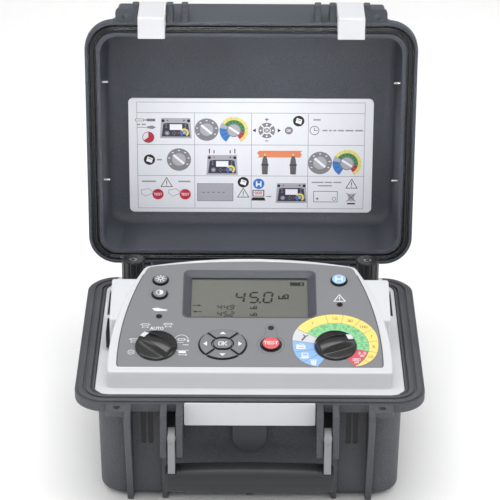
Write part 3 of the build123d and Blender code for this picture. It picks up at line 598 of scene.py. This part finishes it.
def make_pad_web():
    """The overlay's own strips between the pad's keys, over black strips of painted shade in the gaps."""
    def slot_outline(grow):
        half, radius = OK_HALF, OK_R + grow
        right = arc(PAD_AT[0] + half, PAD_AT[1], radius, 0, 180, 16)
        left = arc(PAD_AT[0] - half, PAD_AT[1], radius, 180, 360, 16)
        return right + left

    # the second set is painted shade: black strips sunk in the gaps between the pad's keys
    for name, ink, half, gap, top, bottom in (("pad_web", "web", 0.45, 0.45, 0.14, -0.4),
                                              ("pad_gap_shade", "black", 0.68, 0.32, -0.45, -1.2)):
        art = Print(name, DECK, "case", "overlay_film", top - 0.06)
        sink = top - 0.06 - bottom
        for turn in (45, 135, 225, 315):
            s, c = sin(radians(turn)), cos(radians(turn))
            strip = [(-half, 9.1), (half, 9.1), (half, 19.6), (-half, 19.6)]
            turned = [(PAD_AT[0] + x * c + y * s, PAD_AT[1] + y * c - x * s) for x, y in strip]
            art.shape(ink, turned, 0, sink)
        inner = slot_outline(gap)
        outer = []
        for x, y in inner:
            turn = atan2(x - PAD_AT[0], y - PAD_AT[1])
            reach = 9.7 / hypot(sin(turn), cos(turn) / PAD_SQUASH)
            outer.append((PAD_AT[0] + reach * sin(turn), PAD_AT[1] + reach * cos(turn)))
        for i in range(len(inner)):
            j = (i + 1) % len(inner)
            if hypot(inner[i][0] - inner[j][0], inner[i][1] - inner[j][1]) > 1e-6:
                art.shape(ink, [inner[i], inner[j], outer[j], outer[i]], 0, sink)
        art.finish()


make_pad_web()


# ---------------------------------------------------------------- display
SEVEN = {"0": "abcdef", "2": "abdeg", "4": "bcfg", "5": "acdfg", "9": "abcdfg"}


def seven(art, digit, x, y, wide, tall, pen):
    """One slanted seven-segment figure whose lower left corner is (x, y)."""
    lean = 0.12
    half, gap = tall / 2, pen * 0.18
    bars = {"a": (0, tall, 1, 0), "g": (0, half, 1, 0), "d": (0, 0, 1, 0), "f": (0, half, 0, 1),
            "b": (wide, half, 0, 1), "e": (0, 0, 0, 1), "c": (wide, 0, 0, 1)}
    for name in SEVEN[digit]:
        u, v, along, upward = bars[name]
        length = wide if along else half
        p, e = pen / 2, gap
        outline = [(e, 0), (e + p, -p), (length - e - p, -p), (length - e, 0), (length - e - p, p),
                   (e + p, p)]
        if upward:
            outline = [(-b, a) for a, b in outline]
        art.shape("segment", [(x + u + a + (v + b) * lean, y + v + b) for a, b in outline])


def number(art, digits, x, y, wide, tall, pen, step):
    for digit in digits:
        if digit == ".":
            art.box("segment", x - step + wide + 0.7 * pen, y - pen / 2, x - step + wide + 1.7 * pen,
                    y + pen / 2)
            continue
        seven(art, digit, x, y, wide, tall, pen)
        x += step


def arrow(art, ink, x0, x1, y, pen, head):
    """A line from x0 to x1 with a filled head at x1."""
    toward = 1 if x1 > x0 else -1
    art.line(ink, [(x0, y), (x1 - toward * head, y)], pen)
    back = x1 - toward * head * 1.6
    art.shape(ink, [(x1, y), (back, y - head * 0.7), (back, y + head * 0.7)])


def draw_display():
    art = Print("lcd", DECK, "case", "lcd_glass", -5.17)
    number(art, "45.0", -13.8, 96.2, 7.4, 13.8, 2.0, 12.9)
    art.text("segment", "uR", 31.0, 104.2, 5.4, 1.3)
    number(art, "44.9", -30.4, 86.6, 3.5, 5.8, 1.15, 5.7)
    number(art, "45.2", -30.4, 77.4, 3.5, 5.8, 1.15, 5.7)
    for y in (89.2, 80.0):
        art.text("segment", "uR", 3.2, y, 3.4, 0.8)
    arrow(art, "segment", -53.0, -45.0, 92.0, 0.7, 1.9)
    arrow(art, "segment", -45.0, -53.0, 83.4, 0.7, 1.9)
    art.box("segment", 37.3, 119.6, 50.4, 124.2)
    art.box("line", 47.0, 121.0, 48.8, 122.9, 1)
    art.finish()
    # painted shade: a black line along the window's top edge stands for the shade in the crease under the
    # frame's upper wall
    edge = Print("window_top_shade", DECK, "case", "frame_plastic", -4.0)
    edge.line("black", [(-54.0, 128.1), (52.8, 128.1)], 0.9)
    edge.finish()


draw_display()


# ---------------------------------------------------------------- instruction card
def card_dial(art, x, y, radius):
    """Grey disc with a lighter knob and its pointer."""
    art.disc("grey", x, y, radius)
    for turn in range(-120, 121, 40):
        px, py = x + 0.8 * radius * sin(radians(turn)), y + 0.8 * radius * cos(radians(turn))
        art.box("light", px - 0.9, py - 0.5, px + 0.9, py + 0.5, 1)
    art.disc("body", x, y, radius * 0.56, 1)
    art.line("light", [(x - 0.38 * radius, y + 0.34 * radius), (x + 0.36 * radius, y - 0.3 * radius)],
             radius * 0.2, 2)


def card_scale(art, x, y, radius):
    """Small copy of the coloured scale round a grey knob."""
    inner, middle = radius * 0.5, radius * 0.76
    parts = (("strong_blue", inner, radius, -148, -80), ("body", inner, radius, -80, -57),
             ("strong_yellow", middle, radius, -57, 148), ("strong_green", inner, middle, -57, 103),
             ("strong_red", inner, middle, 103, 148))
    for ink, low, high, start, end in parts:
        art.sector(ink, x, y, low, high, start, end)
    for k in range(14):
        turn = radians(-148 + 22.8 * k)
        art.line("rule", [(x + r * sin(turn), y + r * cos(turn)) for r in (inner, radius)], 0.25, 1)
    art.disc("grey", x, y, inner, 1)
    art.disc("body", x, y, inner * 0.86, 2)
    art.line("light", [(x - 0.3 * radius, y + 0.2 * radius), (x + 0.3 * radius, y - 0.2 * radius)],
             radius * 0.14, 3)


def card_tester(art, x, y, leads=False):
    """Small picture of the instrument's own panel."""
    wide, tall = 15.6, 10.6
    art.shape("body", [(x - wide, y - tall), (x + wide, y - tall), (x + wide - 1.2, y + tall),
                       (x - wide + 1.2, y + tall)])
    art.shape("navy", [(x - 14.0, y - 8.8), (x + 14.0, y - 8.8), (x + 12.2, y + 4.6), (x + 9, y + 5.4),
                       (x - 9, y + 5.4), (x - 12.2, y + 4.6)], 1)
    art.box("light", x - 6.0, y - 1.8, x + 6.2, y + 4.2, 2)
    for side in (-1, 1):
        art.disc("black", x + side * 12.6, y + 7.8, 1.5, 1)
        art.disc("strong_red" if side < 0 else "black", x + side * 8.0, y + 8.2, 0.8, 1)
        for row in (3.6, 1.0):
            art.disc("grey", x + side * 9.4, y + row, 0.8, 2)
    art.disc("grey", x - 8.6, y - 5.2, 2.4, 2)
    art.disc("body", x - 8.6, y - 5.2, 1.3, 3)
    for ink, start, end in (("strong_blue", -148, -70), ("strong_yellow", -57, 148)):
        art.sector(ink, x + 8.4, y - 4.6, 2.4, 4.4, start, end, 2)
    art.disc("body", x + 8.4, y - 4.6, 1.8, 2)
    for turn in range(0, 360, 90):
        art.disc("grey", x - 1.6 + 1.5 * sin(radians(turn)), y - 5.2 + 1.5 * cos(radians(turn)), 0.6, 2)
    art.disc("strong_red", x + 2.6, y - 5.2, 0.9, 2)
    if leads:
        for shift, tall_by in ((-12.6, 3.2), (-8.0, 2.2), (8.0, 2.2), (12.6, 3.2)):
            art.box("black", x + shift - 0.5, y + 12.4, x + shift + 0.5, y + 12.4 + tall_by * 1.5)
            art.box("strong_yellow", x + shift - 0.4, y + 11.0, x + shift + 0.4, y + 12.0)


def card_manual(art, x, y):
    """Black disc with a light page on it."""
    art.disc("black", x, y, 5.6)
    art.shape("light", [(x - 3.2, y - 1.6), (x + 2.4, y - 3.4), (x + 3.4, y + 1.4), (x - 1.8, y + 3.4)], 1)
    art.line("black", [(x - 0.6, y + 1.4), (x + 1.8, y + 0.4)], 0.6, 2)


def card_triangle(art, x, y):
    art.loop("ink", [(x - 5.6, y - 4.6), (x + 5.6, y - 4.6), (x, y + 5.0)], 0.7)
    art.line("ink", [(x, y + 1.6), (x, y - 1.4)], 0.8)
    art.disc("ink", x, y - 3.0, 0.5)


def card_lines(art, x, y, words, size=2.6):
    """Rows of short strokes that stand for a printed note."""
    for length in words:
        art.box("rule", x, y - size * 0.3, x + length, y + size * 0.3)
        x += length + 1.4


def draw_first_row(art):
    for x, ink in ((-109.5, "light"), (-98.5, "grey")):
        art.box("ink", x - 4.2, 36.2, x + 4.2, 38.8)
        art.box(ink, x - 3.7, 36.7, x + 3.7, 38.3, 1)
    arrow(art, "black", -105.0, -102.8, 37.5, 0.5, 1.0)
    card_lines(art, -112.0, 32.8, (3.0, 4.0))
    art.line("grey", [(-112.0, 29.8), (-102.0, 29.8)], 0.6)
    art.shape("grey", [(-102.0, 28.8), (-97.0, 28.0), (-93.5, 29.8), (-97.0, 31.6), (-102.0, 30.8)])
    art.circle("ink", -101.2, 19.3, 5.6, 0.5, 1)
    art.sector("strong_red", -101.2, 19.3, 0.05, 5.4, 0, 235)
    card_tester(art, -74.0, 29.0)
    card_dial(art, -43.6, 27.6, 11.8)
    card_scale(art, -16.8, 27.0, 14.2)
    x, y = 15.6, 27.0
    for turn in range(0, 360, 90):
        art.sector("grey", x, y, 4.0, 8.2, turn - 38, turn + 38)
        px, py = x + 6.1 * sin(radians(turn)), y + 6.1 * cos(radians(turn))
        art.disc("light", px, py, 0.9, 1)
    art.disc("grey", x, y, 3.2, squash=0.75)
    art.text("light", "OK", x, y, 1.8, 0.4, 1)
    art.text("ink", "+", x, y + 11.4, 4.6, 0.8)
    art.text("ink", "-", x, y - 11.0, 3.2, 0.8)
    for side in (-1, 1):
        art.shape("black", [(x + side * 14.0, y), (x + side * 10.8, y - 2.0), (x + side * 10.8, y + 2.0)])
    art.disc("grey", 37.4, 27.0, 4.0)
    art.text("light", "OK", 37.4, 27.0, 2.4, 0.5, 1)
    card_manual(art, 47.0, 37.0)
    card_lines(art, 61.5, 38.4, (7.0,))
    art.circle("ink", 62.6, 27.2, 4.4, 0.6)
    art.line("ink", [(62.6, 30.0), (62.6, 27.2), (65.4, 27.2)], 0.6)
    card_lines(art, 70.5, 27.2, (5.0, 3.0, 3.0, 6.0, 8.0, 8.0))


def draw_second_row(art):
    card_manual(art, -100.4, -4.4)
    card_lines(art, -93.0, -4.4, (5.0,))
    card_dial(art, -71.2, -4.2, 12.0)
    card_tester(art, -28.4, -9.8, leads=True)
    art.shape("orange", [(8.0, 5.6), (51.0, 5.6), (49.0, 3.6), (50.6, 1.6), (48.8, -1.6), (6.6, -1.6),
                         (8.4, 0.4), (6.2, 2.8)])
    for x in (14.0, 42.0):
        art.shape("mid", [(x - 2.8, -19.6), (x + 2.8, -19.6), (x + 3.2, -9.4), (x + 2.4, -3.2),
                          (x + 0.9, 0.2), (x - 0.9, 0.2), (x - 2.4, -3.2), (x - 3.2, -9.4)], 1)
        art.box("black", x - 3.8, -10.0, x + 3.8, -9.0, 2)
        art.box("strong_yellow", x - 0.7, 0.2, x + 0.7, 2.4, 2)
    card_dial(art, 68.6, -7.2, 12.0)
    card_scale(art, 95.4, -7.6, 14.4)


def draw_third_row(art):
    card_lines(art, -108.2, -27.6, (14.0,))
    card_triangle(art, -83.6, -28.6)
    card_lines(art, -72.0, -27.6, (12.0,))
    for x in (-92.4, -65.2):
        art.disc("strong_red", x, -41.4, 5.6)
        art.text("light", "TEST", x, -41.4, 2.2, 0.5, 1)
        art.loop("rule", [(x - 16.4, -36.8), (x - 9.0, -35.4), (x - 4.6, -39.2), (x - 6.6, -41.0),
                          (x - 12.4, -43.4), (x - 16.4, -40.6)], 0.5, 1)
    art.box("ink", -53.2, -48.6, -17.4, -29.6)
    art.box("body", -52.8, -48.2, -17.8, -30.0, 1)
    for x in (-47.0, -42.0, -37.0, -32.0, -27.0):
        art.box("ink", x - 1.2, -39.4, x + 1.2, -38.8, 2)
    card_lines(art, -49.6, -34.6, (4.0, 4.0, 4.0))
    card_manual(art, -7.4, -28.2)
    card_triangle(art, -7.4, -39.6)
    art.disc("strong_blue", 8.0, -29.8, 5.6)
    art.box("light", 5.2, -32.8, 10.8, -27.0, 1)
    art.box("strong_blue", 6.6, -29.4, 9.4, -27.0, 2)
    art.box("strong_blue", 6.8, -32.8, 9.2, -31.0, 2)
    art.box("black", 1.8, -43.4, 13.6, -36.4)
    art.box("light", 2.8, -42.6, 12.6, -37.2, 1)
    art.text("strong_red", "888", 7.7, -39.6, 2.8, 0.5, 2)
    art.shape("black", [(0.6, -47.8), (14.8, -47.8), (13.6, -44.4), (1.8, -44.4)])
    arrow(art, "ink", 15.4, 20.8, -43.4, 0.5, 1.2)
    card_tester(art, 40.6, -39.6)
    card_lines(art, 60.4, -28.0, (12.0, 7.0, 8.0), 2.2)
    card_lines(art, 66.8, -31.6, (14.0,), 2.2)
    art.loop("ink", [(62.8, -49.0), (86.4, -49.0), (86.4, -37.6), (62.8, -37.6)], 0.5)
    art.text("ink", "+", 66.4, -45.6, 3.2, 0.7)
    art.circle("ink", 83.2, -45.6, 1.8, 0.4)
    card_triangle(art, 100.4, -29.4)
    art.shape("body", [(97.8, -48.2), (102.6, -48.2), (103.8, -40.2), (96.6, -40.2)])
    art.box("black", 96.4, -51.6, 104.2, -50.0)
    for side in (-1, 1):
        art.line("ink", [(100.2 - side * 4.4, -48.4), (100.2 + side * 4.4, -39.6)], 0.6, 1)


def draw_card():
    art = Print("card", CARD, "lid", "card_film", 0.0)
    left, right, top, bottom = -112.2, 112.2, 56.3, -56.3
    rows = (45.2, 11.6, -21.4)
    columns = (-55.6, 0.6, 56.6)
    art.loop("rule", [(left, bottom), (right, bottom), (right, top), (left, top)], 0.5)
    for y in rows:
        art.line("rule", [(left, y), (right, y)], 0.5)
    for x in columns:
        art.line("rule", [(x, rows[0]), (x, bottom)], 0.5)
    draw_first_row(art)
    draw_second_row(art)
    draw_third_row(art)
    art.finish()


draw_card()


# ---------------------------------------------------------------- latch wells, painted shade
def shade_wells():
    """Painted shade: black shapes in the pairs of deep wells that the latch feet leave in the case's front,
    standing for the shadow inside them.
    """
    for name, middle in (("left", -92.5), ("right", 92.5)):
        wall = plane((middle, -103.0, 0), (1, 0, 0), (0, 0, 1))
        art = Print("well_lining_" + name, wall, "case", "case_plastic", 0.25)
        half, top, bottom = 1.95, 100.8, 60.0
        for x in (-3.25, 3.25):
            # painted shade: black rounded slots stand for the shadow deep in each well
            art.shape("black", [(x - half, top)] + arc(x, bottom, half, 270, 90, 14) + [(x + half, top)])
        art.finish()


shade_wells()


# ---------------------------------------------------------------- knobs
KNOB_OUT, KNOB_EDGE, KNOB_FOOT = 19.3, 17.6, 0.5
FIN_TOP, FIN_LOW, FIN_LEN, FIN_HALF = 8.9, 6.3, 17.4, 5.2
SKIRT_TOP, CROWN_DROP = 2.7, 0.5
MODE_POINTS, RANGE_POINTS = 52.0, -68.0    # degrees anticlockwise from straight up the slope


def smooth(value):
    value = max(0.0, min(1.0, value))
    return value * value * (3 - 2 * value)


def knob_height(u, v):
    """Height of the knob's surface; v runs towards the pointer."""
    r = hypot(u, v)
    rim = SKIRT_TOP + CROWN_DROP * (1 - min(1.0, r / KNOB_EDGE) ** 2)
    if r > KNOB_EDGE:
        t = (r - KNOB_EDGE) / (KNOB_OUT - KNOB_EDGE)
        rim = KNOB_FOOT + (SKIRT_TOP - KNOB_FOOT) * sqrt(max(0.0, 1 - t * t))
    reach = min(1.0, abs(v) / FIN_LEN)
    top = FIN_TOP - (FIN_TOP - FIN_LOW) * reach * reach
    half = FIN_HALF - (1.6 if v > 0 else 0.7) * reach ** 2
    crown = top - CROWN_DROP * min(1.0, abs(u) / half) ** 2
    side = smooth((abs(u) - half) / 4.6)
    fin = crown + (rim - crown) * side
    end = smooth((abs(v) - FIN_LEN + 1.2) / 1.8)
    return rim + max(0.0, fin - rim) * (1 - end)


def knob_mesh(name, at, points_to, body, replaced):
    rings, around = 44, 160
    place = DECK @ Matrix.Translation((at[0], at[1], 0)) @ Matrix.Rotation(radians(points_to), 4, "Z")
    points = [(0, 0, knob_height(0, 0))]
    for i in range(1, rings + 1):
        r = KNOB_OUT * (1 - (1 - i / rings) ** 1.25)
        for k in range(around):
            t = 2 * pi * k / around
            u, v = r * sin(t), r * cos(t)
            points.append((u, v, knob_height(u, v)))
    faces = [(0, 1 + (k + 1) % around, 1 + k) for k in range(around)]
    for i in range(rings - 1):
        a, b = 1 + i * around, 1 + (i + 1) * around
        faces += [(a + k, a + (k + 1) % around, b + (k + 1) % around, b + k) for k in range(around)]
    faces.append(tuple(1 + (rings - 1) * around + k for k in range(around)))
    knob = add_mesh(name, points, faces, place, body, MATERIALS["knob_plastic"], True)
    knob.data.polygons[-1].use_smooth = False
    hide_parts(replaced)
    return place


def pointer_mesh(name, place, body, replaced):
    """White plate that follows the fin's end and turns down over it."""
    low_v, high_v, wide, over = 11.2, 16.2, 3.3, 0.16
    across, along = 12, 12
    points = []
    for lift in (over, -0.35):
        for j in range(along + 1):
            for i in range(across + 1):
                v = low_v + (high_v - low_v) * j / along
                u = wide * (2 * i / across - 1)
                points.append((u, v, knob_height(u * 0.9, v) + lift))
    row, layer = across + 1, (across + 1) * (along + 1)
    faces = []
    for j in range(along):
        for i in range(across):
            a = j * row + i
            faces.append((a, a + 1, a + row + 1, a + row))
            faces.append((layer + a, layer + a + row, layer + a + row + 1, layer + a + 1))
    rim = (list(range(row)) + [j * row + across for j in range(1, along + 1)]
           + [along * row + i for i in range(across - 1, -1, -1)]
           + [j * row for j in range(along - 1, 0, -1)])
    faces += [(b, a, layer + a, layer + b) for a, b in zip(rim, rim[1:] + rim[:1])]
    plate = add_mesh(name, points, faces, place, body, MATERIALS["pointer_paint"])
    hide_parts(replaced)


for which, at, points_to in (("mode", MODE_AT, MODE_POINTS), ("range", RANGE_AT, RANGE_POINTS)):
    dial = which + "_dial"
    knob_place = knob_mesh(dial + "_knob", at, points_to, dial, which + "_knob")
    pointer_mesh(dial + "_pointer", knob_place, dial, which + "_knob_pointer")


# ---------------------------------------------------------------- soft pieces
def rounded_path(half_x, half_y, radius, steps=14):
    """Points and outward directions round a rectangle with rounded corners."""
    path = []
    for cx, cy, start in ((1, 1, 0), (-1, 1, 90), (-1, -1, 180), (1, -1, 270)):
        for i in range(steps + 1):
            t = radians(start + 90 * i / steps)
            path.append((cx * (half_x - radius) + radius * cos(t), cy * (half_y - radius) + radius * sin(t),
                         cos(t), sin(t)))
    return path


def make_seal():
    """Lip seal in the lid's rim: a round bead with a hollow groove and a fine lip beside it."""
    rim_half_x, rim_half_y, rim_corner = 157.5, 124.0, 28.0
    inset, low = 6.75, 112.45
    path = rounded_path(rim_half_x - inset, rim_half_y - inset, rim_corner - inset)
    section = [(-2.1, 3.7), (-2.2, 1.6), (-1.9, 0.5), (-1.1, 0.05), (-0.3, 0.3), (0.0, 1.0), (0.3, 0.3),
               (1.1, 0.05), (1.9, 0.5), (2.2, 1.6), (2.1, 3.7)]
    points = [(x + nx * a, y + ny * a, low + b) for x, y, nx, ny in path for a, b in section]
    count, total = len(section), len(path)
    faces = []
    for i in range(total):
        a, b = i * count, (i + 1) % total * count
        faces += [(a + k, b + k, b + (k + 1) % count, a + (k + 1) % count) for k in range(count)]
    seal = add_mesh("rim_seal", points, faces, LID, "lid", MATERIALS["seal_rubber"], True)
    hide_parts("lid_seal")


make_seal()


def make_grip():
    """Handle grip: a soft oblong section, fullest in the middle, with lengthwise ribs and arm seats."""
    arm_x, arm_half, seat_y, seat_low = 69.5, 3.9, -139.3, 51.3
    end_round, power = 2.6, 3.4
    low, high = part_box("handle_grip")
    low, high = low / MM, high / MM
    centre = (low + high) / 2
    half_x, half_y, half_z = (high - low) / 2
    stations, around = 152, 56
    points = []
    for i in range(stations + 1):
        x = -half_x + 2 * half_x * i / stations
        inside = half_x - abs(x)
        short = end_round - min(end_round, inside)
        round_off = end_round - sqrt(max(0.0, end_round ** 2 - short ** 2))
        bow = 1.9 * (x / half_x) ** 2
        groove = 0.35 * smooth(1 - abs(inside - 12.5) / 1.2)
        for k in range(around):
            t = 2 * pi * k / around
            c, s = cos(t), sin(t)
            scale = (abs(c) ** power + abs(s) ** power) ** (-1 / power)
            rib = 0.22 * smooth(1 - abs((degrees(t) % 24) - 12) / 4)
            cut = round_off + groove + rib
            y = centre.y + (half_y - cut) * c * scale
            z = centre.z + 1.4 + (half_z - 1.6 - cut - bow) * s * scale
            if inside > 0.75 and abs(abs(x) - arm_x) < arm_half and z > seat_low:
                y = max(y, seat_y)
            points.append((x, y, z))
    faces = [(i * around + k, i * around + (k + 1) % around, (i + 1) * around + (k + 1) % around,
              (i + 1) * around + k) for i in range(stations) for k in range(around)]
    faces.append(tuple(range(around - 1, -1, -1)))
    faces.append(tuple(stations * around + k for k in range(around)))
    grip = add_mesh("hand_grip", points, faces, Matrix.Scale(MM, 4), "handle", MATERIALS["grip_rubber"],
                    True)
    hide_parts("handle_grip")


make_grip()


# ---------------------------------------------------------------- floor and light
def make_floor():
    half, steps = 12.0, 24
    points = [(-half + 2 * half * i / steps, -half + 2 * half * j / steps, 0)
              for j in range(steps + 1) for i in range(steps + 1)]
    faces = [(j * (steps + 1) + i, j * (steps + 1) + i + 1, (j + 1) * (steps + 1) + i + 1,
              (j + 1) * (steps + 1) + i) for j in range(steps) for i in range(steps)]
    mesh = bpy.data.meshes.new("floor")
    mesh.from_pydata(points, [], faces)
    mesh.materials.append(Surface("floor_paper", (252, 252, 252), rough=0.7, grain=0.05, size=3.0,
                                  spread=0.01).material)
    floor = bpy.data.objects.new("floor", mesh)
    bpy.context.scene.collection.objects.link(floor)
    floor.location.z = -0.0005


def area_light(name, place, aim, size, power, spread=180):
    data = bpy.data.lights.new(name, "AREA")
    data.shape, data.size, data.size_y, data.energy = "RECTANGLE", size[0], size[1], power
    data.spread = radians(spread)
    lamp = bpy.data.objects.new(name, data)
    bpy.context.scene.collection.objects.link(lamp)
    lamp.location = place
    lamp.rotation_mode = "QUATERNION"
    lamp.rotation_quaternion = (Vector(aim) - Vector(place)).to_track_quat("-Z", "Y")


def make_light():
    world = bpy.data.worlds.new("studio")
    world.use_nodes = True
    back = world.node_tree.nodes["Background"]
    back.inputs["Color"].default_value = (1.0, 1.0, 1.0, 1.0)
    back.inputs["Strength"].default_value = 0.62
    bpy.context.scene.world = world
    area_light("overhead", (0, -0.1, 2.2), (0, 0, 0.1), (1.8, 1.4), 27)
    area_light("front", (0, -2.2, 1.9), (0, 0, 0.2), (1.6, 0.9), 9)
    area_light("lid", (0, -1.5, 0.9), (0, 0.19, 0.27), (0.3, 0.2), 0.16, 14)
    for side in (-1, 1):
        area_light("side", (side * 1.8, -0.6, 1.1), (0, 0, 0.15), (0.8, 1.4), 7)
    bpy.context.scene.view_settings.view_transform = "Standard"


make_floor()
make_light()
